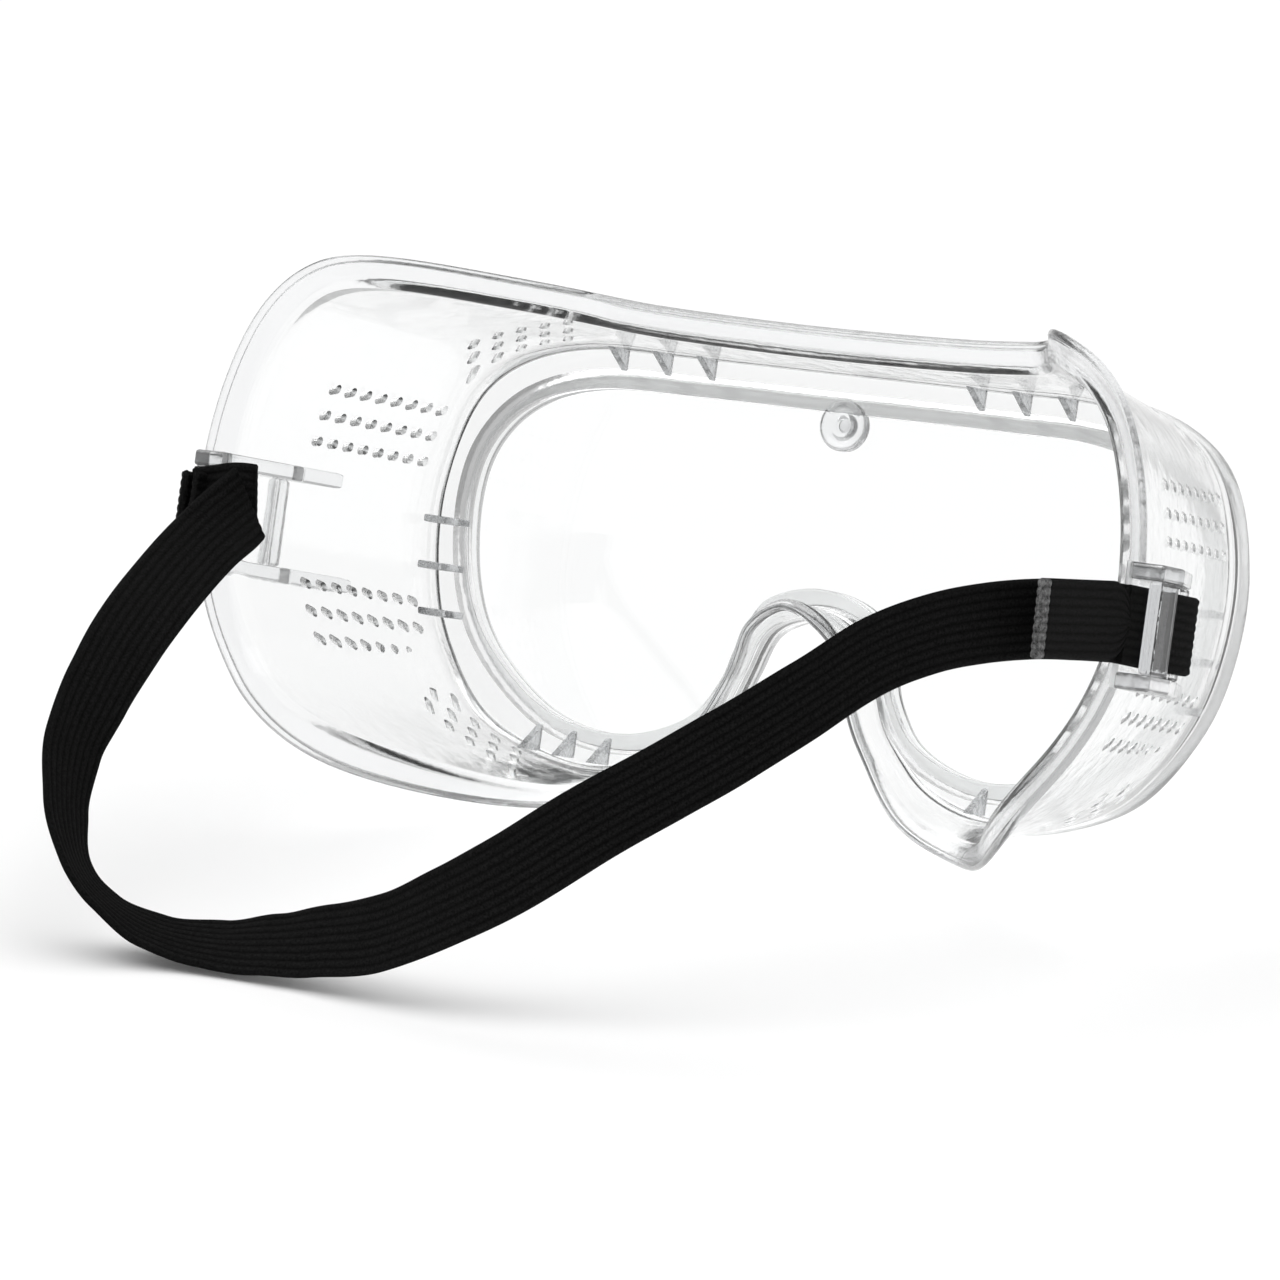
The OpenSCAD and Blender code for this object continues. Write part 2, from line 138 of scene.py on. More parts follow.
RIM_STATIONS = [
    (0, RIM_TOP), (28, RIM_TOP), (48, RIM_TOP - 0.4), (62, RIM_TOP - 4.6),
    (FRONT_HALF_W - 4, RIM_TOP - 13), (FRONT_HALF_W, RIM_TOP - 28),
    (FRONT_HALF_W - 0.8, -1), (FRONT_HALF_W - 5, -13), (FRONT_HALF_W - 14, low(7)),
    (47, low(1)), (35, low(0)), (23, low(4)),
    (14.5, -19), (11, -11), (7.8, -4), (0, -1)]
FACE_STATIONS = [
    (0, RIM_TOP - 0.5), (28, RIM_TOP), (48, RIM_TOP + 1.2), (64, RIM_TOP),
    (FACE_HALF_W - 6.5, RIM_TOP - 6.8), (FACE_HALF_W - 1.2, RIM_TOP - 21),
    (FACE_HALF_W, 3.5), (FACE_HALF_W - 3.8, -11), (FACE_HALF_W - 12.5, -24),
    (57, -30.9), (42.5, -34.4), (28.5, -31.4),
    (17, -21.2), (12.5, -13), (8.6, -3.2), (0, 1.6)]
OPEN_STATIONS = [
    (0, RIM_TOP - 8.3), (28, RIM_TOP - 8.3), (46, RIM_TOP - 8.8), (58, RIM_TOP - 12.6),
    (FRONT_HALF_W - 9.5, RIM_TOP - 20), (FRONT_HALF_W - 7.3, RIM_TOP - 30),
    (FRONT_HALF_W - 9, -1), (FRONT_HALF_W - 14, -11), (FRONT_HALF_W - 24, -19.8),
    (41, -23.4), (30.5, -23.5), (21, -19.5),
    (16.2, -13), (13.8, -6), (9.6, 1.4), (0, 4.2)]
LIP_SHARE = [1, 1, 1, 1, 1, 1, 1, 1, 1, 1.15, 0.8, 0.6, 0.38, 0.38, 0.38, 0.38]
STEPS = 10  # curve steps between two outline stations


def curve(stations):
    """A smooth closed curve through rows of numbers."""
    a = np.array(stations, float)
    a = a.reshape(len(a), -1)
    n = len(a)
    out = []
    for i in range(n):
        p, q, r, s = (a[(i + k) % n] for k in (-1, 0, 1, 2))
        for k in range(STEPS):
            u = k / STEPS
            out.append(0.5 * (2 * q + (r - p) * u + (2 * p - 5 * q + 4 * r - s) * u * u
                              + (3 * q - p - 3 * r + s) * u ** 3))
    return np.array(out)


def mirrored(stations):
    return list(stations) + [(-x, z) for x, z in stations[-2:0:-1]]


def normals(line):
    t = np.roll(line, -1, 0) - np.roll(line, 1, 0)
    t /= np.linalg.norm(t, axis=1)[:, None]
    return np.stack([-t[:, 1], t[:, 0]], 1)


def grown(line, by):
    return line + normals(line) * np.reshape(by, (-1, 1))


rim_line = curve(mirrored(RIM_STATIONS))
face_line = curve(mirrored(FACE_STATIONS))
open_line = curve(mirrored(OPEN_STATIONS))
lip_w = curve(LIP_SHARE + LIP_SHARE[-2:0:-1])[:, 0] * LIP_W
COUNT = len(rim_line)


def ease(u):
    v = min(1, max(0, u))
    return v * v * (3 - 2 * v)


def face_depth(x, z):
    w = ease((z + 10) / 20)
    cheek = NOSE_DEPTH + (CHEEK_DEPTH - NOSE_DEPTH) * ease((abs(x) - NOSE_HALF_W) / NOSE_HALF_W)
    shallow = cheek + (BROW_DEPTH - cheek) * w
    start = 33 + 6 * w
    end = FACE_HALF_W - 10 - 3 * w
    return shallow + (TEMPLE_DEPTH - shallow) * ease((abs(x) - start) / (end - start))


face_y = np.array([-face_depth(x, z) for x, z in face_line])


def at_y(line, y):
    y = np.broadcast_to(y, (len(line),))
    return np.stack([line[:, 0], y, line[:, 1]], 1)


# ---------------------------------------------------------------- materials
def material(name):
    mat = bpy.data.materials.new(name)
    mat.use_nodes = True
    tree = mat.node_tree
    return mat, tree.nodes, tree.links, tree.nodes["Principled BSDF"]


def noise(nodes, links, scale, detail=3.0, rough=0.5):
    coords = nodes.new("ShaderNodeTexCoord")
    tex = nodes.new("ShaderNodeTexNoise")
    tex.inputs["Scale"].default_value = scale
    tex.inputs["Detail"].default_value = detail
    tex.inputs["Roughness"].default_value = rough
    links.new(coords.outputs["Object"], tex.inputs["Vector"])
    return tex


def let_lamps_through(nodes, links, bsdf):
    """Clear plastic throws no shadow here: shadow rays pass straight through."""
    out = nodes["Material Output"]
    path = nodes.new("ShaderNodeLightPath")
    clear = nodes.new("ShaderNodeBsdfTransparent")
    mix = nodes.new("ShaderNodeMixShader")
    links.new(path.outputs["Is Shadow Ray"], mix.inputs[0])
    links.new(bsdf.outputs[0], mix.inputs[1])
    links.new(clear.outputs[0], mix.inputs[2])
    links.new(mix.outputs[0], out.inputs["Surface"])


def clear_plastic(name, colour, rough, ior, wave, depth):
    """Clear plastic, its roughness about rough, with ripples of noise scale wave and strength depth."""
    mat, nodes, links, bsdf = material(name)
    bsdf.inputs["Base Color"].default_value = colour
    bsdf.inputs["Transmission Weight"].default_value = 1.0
    bsdf.inputs["IOR"].default_value = ior
    tex = noise(nodes, links, wave, 2.0)
    ramp = nodes.new("ShaderNodeMapRange")
    ramp.inputs["To Min"].default_value = rough * 0.5
    ramp.inputs["To Max"].default_value = rough * 1.5
    links.new(tex.outputs["Fac"], ramp.inputs["Value"])
    links.new(ramp.outputs["Result"], bsdf.inputs["Roughness"])
    bump = nodes.new("ShaderNodeBump")
    bump.inputs["Strength"].default_value = depth
    bump.inputs["Distance"].default_value = 0.0005
    links.new(tex.outputs["Fac"], bump.inputs["Height"])
    links.new(bump.outputs["Normal"], bsdf.inputs["Normal"])
    let_lamps_through(nodes, links, bsdf)
    return mat


PVC_IOR = 1.45
LENS_IOR = 1.5
pvc = clear_plastic("clear_pvc", (0.955, 0.96, 0.96, 1), 0.08, PVC_IOR, 260, 0.08)
# lip, tab, stud and lug webs: the same clear plastic made a little darker, painted shade for the grey lines
# at their edges
pvc_edge_painted_shade = clear_plastic("clear_pvc_lip_painted_shade", (0.9, 0.905, 0.91, 1), 0.16, PVC_IOR, 420, 0.15)
# gussets: the same clear plastic made much darker, painted shade
pvc_rib_painted_shade = clear_plastic("clear_pvc_rib_painted_shade", (0.66, 0.67, 0.68, 1), 0.25, PVC_IOR, 900, 0.3)
# lug bars: the same clear plastic made much darker, painted shade
pvc_bar_painted_shade = clear_plastic("clear_pvc_bar_painted_shade", (0.6, 0.61, 0.62, 1), 0.08, PVC_IOR, 420, 0.2)
# lens groove: the same clear plastic made darker, painted shade in the groove
pvc_groove_painted_shade = clear_plastic("clear_pvc_groove_painted_shade", (0.86, 0.865, 0.865, 1), 0.12, PVC_IOR, 420, 0.1)
# vents' walls and the lip's gaps: the same clear plastic made darker, painted shade inside the holes
vent_wall_painted_shade = clear_plastic("clear_pvc_vent_painted_shade", (0.8, 0.81, 0.81, 1), 0.4, PVC_IOR, 900, 0.3)
polycarbonate = clear_plastic("clear_polycarbonate", (0.99, 0.995, 0.995, 1), 0.008, LENS_IOR, 40, 0.02)


def elastic(name, dark, light, gloss, speckle):
    """Knitted elastic: yarn from dark to light, with painted shade between the lengthwise ribs and
    lighter rib tops, and a fine knit across them."""
    mat, nodes, links, bsdf = material(name)
    uv = nodes.new("ShaderNodeUVMap")
    split = nodes.new("ShaderNodeSeparateXYZ")
    links.new(uv.outputs["UV"], split.inputs[0])
    last = split.outputs["Y"]
    # the way across makes the ribs' painted shade: from 0.35 of the yarn's colour between them to 1.1 on
    # their tops
    for operation, value in (("MULTIPLY", 2 * math.pi * STRAP_RIBS), ("SINE", 0), ("ABSOLUTE", 0),
                             ("MULTIPLY", 0.75), ("ADD", 0.35)):
        step = nodes.new("ShaderNodeMath")
        step.operation = operation
        step.inputs[1].default_value = value
        links.new(last, step.inputs[0])
        last = step.outputs[0]
    wave = nodes.new("ShaderNodeTexWave")
    wave.wave_type = "BANDS"
    wave.bands_direction = "X"
    wave.inputs["Scale"].default_value = 300.0
    wave.inputs["Distortion"].default_value = 1.6
    wave.inputs["Detail"].default_value = 2.0
    links.new(uv.outputs["UV"], wave.inputs["Vector"])
    tex = noise(nodes, links, speckle, 4.0, 0.7)
    ramp = nodes.new("ShaderNodeValToRGB")
    ramp.color_ramp.elements[0].position = 0.35
    ramp.color_ramp.elements[0].color = (dark, dark, dark, 1)
    ramp.color_ramp.elements[1].position = 0.7
    ramp.color_ramp.elements[1].color = (light, light, light, 1)
    links.new(tex.outputs["Fac"], ramp.inputs["Fac"])
    painted_rib_shade = nodes.new("ShaderNodeVectorMath")
    painted_rib_shade.operation = "SCALE"
    links.new(ramp.outputs["Color"], painted_rib_shade.inputs[0])
    links.new(last, painted_rib_shade.inputs["Scale"])
    links.new(painted_rib_shade.outputs[0], bsdf.inputs["Base Color"])
    rough = nodes.new("ShaderNodeMapRange")
    rough.inputs["To Min"].default_value = 0.95 - 0.5 * gloss
    rough.inputs["To Max"].default_value = 0.75 - 0.4 * gloss
    links.new(wave.outputs["Fac"], rough.inputs["Value"])
    links.new(rough.outputs["Result"], bsdf.inputs["Roughness"])
    add = nodes.new("ShaderNodeMath")
    add.operation = "ADD"
    links.new(wave.outputs["Fac"], add.inputs[0])
    links.new(tex.outputs["Fac"], add.inputs[1])
    bump = nodes.new("ShaderNodeBump")
    bump.inputs["Strength"].default_value = 0.6
    bump.inputs["Distance"].default_value = 0.00025
    links.new(add.outputs["Value"], bump.inputs["Height"])
    links.new(bump.outputs["Normal"], bsdf.inputs["Normal"])
    bsdf.inputs["Specular IOR Level"].default_value = 0.06 + 0.6 * gloss
    return mat


strap_mat = elastic("knitted_elastic", 0.0025, 0.016, 0.0, 2600)
tip_mat = elastic("sealed_elastic", 0.012, 0.3, 0.5, 1500)


# ---------------------------------------------------------------- mesh helpers
def make(name, verts, faces, mat, smooth=True):
    mesh = bpy.data.meshes.new(name)
    mesh.from_pydata([tuple(v) for v in verts], [], faces)
    mesh.validate()
    obj = bpy.data.objects.new(name, mesh)
    scene.collection.objects.link(obj)
    bm = bmesh.new()
    bm.from_mesh(mesh)
    bmesh.ops.recalc_face_normals(bm, faces=bm.faces)
    bm.to_mesh(mesh)
    bm.free()
    if smooth:
        mesh.polygons.foreach_set("use_smooth", [True] * len(mesh.polygons))
    mesh.materials.append(mat)
    return obj


def rings(loops):
    """Vertices and faces of closed loops joined in order, the last back to the first."""
    n = len(loops[0])
    verts = [place(p) for loop in loops for p in loop]
    faces = []
    for r in range(len(loops)):
        s = (r + 1) % len(loops)
        for i in range(n):
            j = (i + 1) % n
            faces.append((r * n + i, r * n + j, s * n + j, s * n + i))
    return verts, faces


def tube_faces(rows, columns):
    """Faces of a tube whose rows have the same number of points, closed at both ends."""
    faces = []
    for i in range(rows - 1):
        for k in range(columns):
            j = (k + 1) % columns
            faces.append((i * columns + k, i * columns + j, (i + 1) * columns + j, (i + 1) * columns + k))
    faces.append(tuple(range(columns)))
    faces.append(tuple((rows - 1) * columns + k for k in range(columns)))
    return faces


def finish_piece(obj, body, slot, *nodes):
    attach(obj, body)
    if nodes:
        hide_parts(*nodes)


def bevelled(obj, width, angle=35):
    """Rounds obj's edges by width, where they turn by more than angle."""
    mod = obj.modifiers.new("bevel", "BEVEL")
    mod.width = width * MM
    mod.segments = 2
    mod.limit_method = "ANGLE"
    mod.angle_limit = math.radians(angle)
    return obj


def apply_modifiers(obj):
    bpy.context.view_layer.update()
    deps = bpy.context.evaluated_depsgraph_get()
    mesh = bpy.data.meshes.new_from_object(obj.evaluated_get(deps))
    old = obj.data
    obj.modifiers.clear()
    obj.data = mesh
    bpy.data.meshes.remove(old)


def prism(name, ends, mat, bevel, angle=35):
    """A solid between two outlines with the same number of points, its edges rounded."""
    n = len(ends[0])
    verts = [place(p) for end in ends for p in end]
    faces = [tuple(range(n)), tuple(range(2 * n - 1, n - 1, -1))]
    faces += [(i, (i + 1) % n, n + (i + 1) % n, n + i) for i in range(n)]
    return bevelled(make(name, verts, faces, mat, smooth=False), bevel, angle)


def solid(name, outline, start, end, mat, bevel, axis="z", side=1):
    """A prism from an outline of [x, y], raised from start to end, or of [y, z] for axis x; side -1
    mirrors it to the left."""
    ends = []
    for at in (start, end):
        ends.append([(side * a, b, at) if axis == "z" else (side * at, a, b) for a, b in outline])
    return prism(name, ends, mat, bevel)


def join(objs, name):
    """Applies each object's modifiers and joins them into one."""
    bm = bmesh.new()
    for obj in objs:
        apply_modifiers(obj)
        bm.from_mesh(obj.data)
    mesh = bpy.data.meshes.new(name)
    bm.to_mesh(mesh)
    bm.free()
    for mat in objs[0].data.materials:
        mesh.materials.append(mat)
    for obj in objs:
        bpy.data.objects.remove(obj)
    out = bpy.data.objects.new(name, mesh)
    scene.collection.objects.link(out)
    return out


# ---------------------------------------------------------------- the moulded body
def blend_lines(a, b, u):
    return a * (1 - u) + b * u


shell_out_front = at_y(rim_line, 0)
shell_in_front = at_y(grown(rim_line, -WALL), 0)
face_in = at_y(face_line, face_y)
face_out = at_y(grown(face_line, WALL), face_y)
DEPTH_ROWS = 12     # rows of faces along the wall's depth
LIP_ROWS = 5        # rows of faces across the lip
CORNER_ROWS = 3     # rows of faces round an edge of the frame
EDGE_ROWS = 6       # rows of faces round the lip's edge
EDGE_R = 0.45       # rounding of the frame's edges
INNER_CORNER = ((0.5, 0), (0.15, -0.15), (0, -0.5))  # [inset, depth] round the corner inside the wall
LIP_SAG = 0.15      # how far the lip's back bows backwards
LIP_RISE = 0.25     # how far the lip's front bows forwards
WALL_SLOT, VENT_SLOT, GROOVE_SLOT, LIP_SLOT = range(4)  # places in the body's list of materials; the vent, groove and lip ones hold darker copies of the clear plastic, painted shade


def rounded_edge(line, side, y, way, reverse=False):
    """Outlines round the edge at line: from the flat face at y, inset to side, to the wall that runs
    on from it along way."""
    rows = []
    for k in range(CORNER_ROWS + 1):
        a = math.pi / 2 * k / CORNER_ROWS
        off = EDGE_R - EDGE_R * math.sin(a)
        rows.append(at_y(grown(line, side * off), y + way * (EDGE_R - EDGE_R * math.cos(a))))
    return rows[::-1] if reverse else rows


def frame_rows():
    """The frame's front, from its outer edge to the opening."""
    return rounded_edge(rim_line, -1, RIM_D, -1, True) + rounded_edge(open_line, 1, RIM_D, -1)


def groove_rows():
    """The edge of the opening: the front lip, the lens's groove and the rear lip."""
    lens_back, lens_front = REAR_LIP_T, REAR_LIP_T + LENS_T
    groove = grown(open_line, GROOVE_DEPTH)
    rows = rounded_edge(open_line, 1, lens_front, 1, True)
    rows += [at_y(groove, lens_front), at_y(groove, lens_back)]
    rows += rounded_edge(open_line, 1, lens_back, -1)
    rows += rounded_edge(open_line, 1, 0, 1, True)
    return rows


def inner_wall_rows():
    """The corner behind the frame and the inside of the wall."""
    rows = [at_y(grown(rim_line, -WALL - inset), back) for inset, back in INNER_CORNER]
    rows += [blend_lines(shell_in_front, face_in, k / DEPTH_ROWS) for k in range(1, DEPTH_ROWS + 1)]
    return rows


def lip_rows():
    """The lip, curling out from the wall, with a rounded edge."""
    out_edge = grown(face_line, lip_w)
    lip_back = at_y(face_line, face_y - LIP_T)
    edge_front = at_y(out_edge, face_y - LIP_FLARE)
    edge_back = at_y(out_edge, face_y - LIP_FLARE - LIP_T)
    rows = [blend_lines(face_in, lip_back, 0.7)]
    for k in range(1, LIP_ROWS):
        sag = np.array([0, -LIP_SAG * math.sin(math.pi * k / LIP_ROWS), 0])
        rows.append(blend_lines(lip_back, edge_back, k / LIP_ROWS) + sag)
    mid_y = (edge_front[:, 1] + edge_back[:, 1]) / 2
    r = LIP_T / 2
    for k in range(EDGE_ROWS, -1, -1):
        a = math.pi * k / EDGE_ROWS
        rows.append(at_y(grown(face_line, lip_w - r + r * math.sin(a)), mid_y + r * math.cos(a)))
    for k in range(LIP_ROWS - 1, 0, -1):
        rise = np.array([0, LIP_RISE * math.sin(math.pi * k / LIP_ROWS), 0])
        rows.append(blend_lines(face_out, edge_front, k / LIP_ROWS) + rise)
    return rows


def outer_wall_rows():
    """The outside of the wall, from the lip to the frame."""
    return [blend_lines(shell_out_front, face_out, k / DEPTH_ROWS) for k in range(DEPTH_ROWS, -1, -1)]


def body_profile():
    """Outlines all round the moulded body's section: frame, groove, wall, lip and wall again;
    with the material slot of the faces that start at each."""
    loops, slots = [], []
    for rows, slot in ((frame_rows(), WALL_SLOT), (groove_rows(), GROOVE_SLOT),
                       (inner_wall_rows(), WALL_SLOT), (lip_rows(), LIP_SLOT),
                       (outer_wall_rows(), WALL_SLOT)):
        loops += rows
        slots += [slot] * len(rows)
    return loops, slots


VENT_REACH = 16             # length of each vent's cut through the wall
VENT_SIDES = 12
SIDE_VENT_X = FRONT_HALF_W + 3
SIDE_VENT_Y = -7
SIDE_VENT_TOP_Z = (26, -6.6)    # highest row of the side's two fields of vents
TOP_VENT = (50, 39)         # [x, z] of the first vent in the top
BOTTOM_VENT = (49, -29)     # and in the bottom
EDGE_VENT_Y = -6            # first row of both
EDGE_VENT_COUNT = 5         # vents in each of their rows
VENT_ROWS = 3               # rows in each field of vents
CUT_PLAY = 0.15             # the lip's gaps at the lugs start this far outside the wall
CUT_START = 20              # and this far behind the temple
CUT_SIZE = 40


def vent_points():
    """Middle of each vent hole and the axis that it runs along, in the upright design."""
    out = []
    for top_z in SIDE_VENT_TOP_Z:
        for row in range(VENT_ROWS):
            for i in range(VENT_COUNT):
                out.append(((SIDE_VENT_X, SIDE_VENT_Y - i * VENT_PITCH, top_z - row * VENT_ROW), "x"))
    for row in range(VENT_ROWS):
        for i in range(EDGE_VENT_COUNT):
            for first_x, z in (TOP_VENT, BOTTOM_VENT):
                x = first_x + i * VENT_PITCH - row * VENT_PITCH / 2
                out.append(((x, EDGE_VENT_Y - row * VENT_ROW, z), "z"))
    return out


def vent_pins(bm):
    for (x, y, z), axis in vent_points():
        turn = Matrix.Rotation(math.pi / 2, 4, "Y") if axis == "x" else Matrix.Identity(4)
        for side in (1, -1):
            bmesh.ops.create_cone(
                bm, cap_ends=True, segments=VENT_SIDES, radius1=VENT_D / 2, radius2=VENT_D / 2,
                depth=VENT_REACH, matrix=Matrix.Translation((side * x, y, z)) @ turn)


def lug_blocks(bm):
    for side in (1, -1):
        low_end = Vector((FACE_HALF_W + WALL + CUT_PLAY, -TEMPLE_DEPTH - CUT_START,
                          SLOT_Z - SLOT_H / 2 - WEB_T))
        high_end = low_end + Vector((CUT_SIZE, CUT_SIZE, SLOT_H + 2 * WEB_T))
        mid = (low_end + high_end) / 2
        mid.x *= side
        size = high_end - low_end
        bmesh.ops.create_cube(bm, size=1, matrix=Matrix.Translation(mid) @ Matrix.Diagonal((*size, 1)))


def cutters():
    """Pins for the vents and blocks for the lip's gaps at the lugs, as one mesh object."""
    bm = bmesh.new()
    vent_pins(bm)
    lug_blocks(bm)
    for v in bm.verts:
        v.co = place(v.co)
    mesh = bpy.data.meshes.new("cutters")
    bm.to_mesh(mesh)
    bm.free()
    obj = bpy.data.objects.new("cutters", mesh)
    scene.collection.objects.link(obj)
    return obj


TOUCH = 2e-5        # in metres: a face further than this from the uncut body was made by a cut
SAME_WAY = 0.9      # so was one whose direction agrees less than this
NEAR_WAY = 0.3      # a smooth normal that agrees less than this with its face isn't taken


def smooth_normal(co, tree, points, point_normals, polys):
    """The normal at co of the smooth body: its nearest face's normals, the nearest point's most."""
    at, _, index, _ = tree.find_nearest(co)
    mixed = Vector((0, 0, 0))
    for k in polys[index]:
        mixed += point_normals[k] / max((at - points[k]).length, 1e-9)
    mixed.normalize()
    return mixed


def carry_normals(source, target, cut_slot):
    """Gives target's faces the smooth normals of source where they lie in it; the cut faces get
    flat normals and the material in cut_slot."""
    point_normals = [v.normal.copy() for v in source.vertices]
    points = [v.co.copy() for v in source.vertices]
    polys = [tuple(p.vertices) for p in source.polygons]
    tree = BVHTree.FromPolygons(points, polys)
    out = []
    for poly in target.polygons:
        _, normal, _, dist = tree.find_nearest(poly.center)
        cut = dist > TOUCH or abs(normal.dot(poly.normal)) < SAME_WAY
        if cut:
            poly.material_index = cut_slot
        for li in poly.loop_indices:
            n = poly.normal
            if not cut:
                co = target.vertices[target.loops[li].vertex_index].co
                mixed = smooth_normal(co, tree, points, point_normals, polys)
                if mixed.dot(n) > NEAR_WAY:
                    n = mixed
            out.append(tuple(n))
    target.polygons.foreach_set("use_smooth", [True] * len(target.polygons))
    target.normals_split_custom_set(out)


def build_body():
    """The whole moulded body as one skin, with its vents and the lip's gaps cut out."""
    loops, slots = body_profile()
    verts, faces = rings(loops)
    body = make("moulded_body", verts, faces, pvc)
    for mat in (vent_wall_painted_shade, pvc_groove_painted_shade, pvc_edge_painted_shade):
        body.data.materials.append(mat)
    body.data.polygons.foreach_set("material_index", [slot for slot in slots for i in range(COUNT)])
    uncut = body.data.copy()
    cutter = cutters()
    mod = body.modifiers.new("cuts", "BOOLEAN")
    mod.operation = "DIFFERENCE"
    mod.solver = "EXACT"
    mod.object = cutter
    apply_modifiers(body)
    bpy.data.objects.remove(cutter)
    # the cut faces take the vent material: painted shade inside the holes
    carry_normals(uncut, body.data, VENT_SLOT)
    bpy.data.meshes.remove(uncut)
    return body


finish_piece(build_body(), "goggles", "clear_body", "body_shell", "face_flange", "lens_rim")


LENS_PLAY = 0.05        # air between the lens's faces and the groove
LENS_EDGE = 0.2


def lens_sheet():
    """The flat lens, its edge in the groove all round."""
    edge = grown(open_line, GROOVE_DEPTH - GROOVE_GAP)
    faces_at = (REAR_LIP_T + LENS_PLAY, REAR_LIP_T + LENS_T - LENS_PLAY)
    ends = [[(x, y, z) for x, z in edge] for y in faces_at]
    return prism("lens_sheet", ends, polycarbonate, LENS_EDGE, angle=60)


finish_piece(lens_sheet(), "goggles", "clear_lens", "lens")


# tab and stud: a round tab with a raised ring and a boss through the lens
TURNED_SIDES = 40


def turned(name, profile, mat):
    """A body of revolution about the tab's axis; profile is [radius, depth]."""
    verts = []
    for r, y in profile:
        for i in range(TURNED_SIDES):
            a = 2 * math.pi * i / TURNED_SIDES
            verts.append(place((r * math.cos(a), y, TAB_Z + r * math.sin(a))))
    return make(name, verts, tube_faces(len(profile), TURNED_SIDES), mat)


def lens_tab():
    """The tab: a hollow middle, a raised ring and a round edge."""
    edge = TAB_W / 2
    ring = [(1.2, 1.2), (1.3, 0.3), (1.6, 0.0), (2.1, 0.0), (2.3, 0.3), (3.0, 0.35), (3.3, 0.1), (3.6, 0.0)]
    rim = [(edge - 0.3, 0.0), (edge, 0.3), (edge, 1.5), (edge - 0.3, REAR_LIP_T)]
    return turned("lens_tab_disc", ring + rim, pvc_edge_painted_shade)


def lens_stud():
    """The boss on the tab, through the lens."""
    r = STUD_D / 2
    lens_front = REAR_LIP_T + LENS_T
    return turned("lens_stud_pin", [(r - 0.2, REAR_LIP_T - 0.4), (r, REAR_LIP_T + 0.1),
                                    (r, lens_front - 0.3), (r - 0.3, lens_front - 0.05)], pvc_edge_painted_shade)


finish_piece(lens_tab(), "goggles", "clear_body", "lens_tab")
finish_piece(lens_stud(), "goggles", "clear_body", "lens_stud")

GUSSET_EDGE = 0.18
TOP_GUSSETS = [(x, RIM_TOP - WALL - 0.05, 3.6) for x in (25, 33.3, 41.6)]  # [x, z, drop]
BOTTOM_GUSSETS = [(35 + 6.6 * i, -RIM_BOTTOM + WALL + 0.25 + 0.45 * i, -4.6) for i in range(3)]
SIDE_GUSSET_Z = [7.8 * (1 - i) for i in range(3)]
SIDE_GUSSET_W = 5.5


def upright_gusset(x, z, drop):
    """A three-cornered rib behind the frame, from z down by drop, thinning out along the wall."""
    outline = [(-GAP, z), (-GAP, z - drop), (-RIB_L, z)]
    return solid("gusset", outline, x - RIB_T / 2, x + RIB_T / 2, pvc_rib_painted_shade, GUSSET_EDGE, axis="x")


def level_gusset(side, z):
    """The same at the side, moved in below the middle, where the frame's outline runs inwards."""
    inset = 0.0095 * z * z + 0.6 if z < 0 else 0
    x = FRONT_HALF_W - WALL - 0.5 - inset
    outline = [(x, -GAP), (x - SIDE_GUSSET_W, -GAP), (x, -RIB_L)]
    return solid("gusset", outline, z - RIB_T / 2, z + RIB_T / 2, pvc_rib_painted_shade, GUSSET_EDGE, side=side)


def gussets():
    sides = (1, -1)
    top = [upright_gusset(side * x, z, drop) for side in sides for x, z, drop in TOP_GUSSETS]
    bottom = [upright_gusset(side * x, z, drop) for side in sides for x, z, drop in BOTTOM_GUSSETS]
    level = [level_gusset(side, z) for side in sides for z in SIDE_GUSSET_Z]
    for objs, name, node in ((top, "ribs_top", "top_gussets"), (bottom, "ribs_bottom", "bottom_gussets"),
                             (level, "ribs_side", "side_gussets")):
        finish_piece(join(objs, name), "goggles", "clear_body", node)


gussets()

# ---------------------------------------------------------------- strap lugs
LUG_OVERHANG = 1.5      # how far the rear bar stands behind the temple
BAR_PLAY = 0.4          # play of the strap under the bar
POST_PLAY = 0.3         # and inside the post
POST_T = 2.2
RIB_REACH = (11, 17)    # length of the tapering rib in front of the top and the bottom web
WEB_EDGE = 0.5          # rounding of the webs and the post, the bar, and the ribs
BAR_EDGE = 0.6
TAPER_EDGE = 0.4
LUG_BACK_Y = -TEMPLE_DEPTH - LUG_OVERHANG
LUG_FRONT_Y = LUG_BACK_Y + LUG_L
LUG_X = FACE_HALF_W + WALL + 2 * STRAP_T + 3 * STRAP_GAP + BAR_PLAY
SLOT_TOP = SLOT_Z + SLOT_H / 2
SLOT_BOTTOM = SLOT_Z - SLOT_H / 2


def wall_x(y):
    """The wall's outside at the side of the face, at a depth."""
    u = -y / TEMPLE_DEPTH
    return FRONT_HALF_W * (1 - u) + (FACE_HALF_W + WALL) * u


POST_X = wall_x(LUG_FRONT_Y) + STRAP_T + 2 * STRAP_GAP + POST_PLAY


def oblong(x, y, width, depth):
    return [(x, y), (x + width, y), (x + width, y + depth), (x, y + depth)]


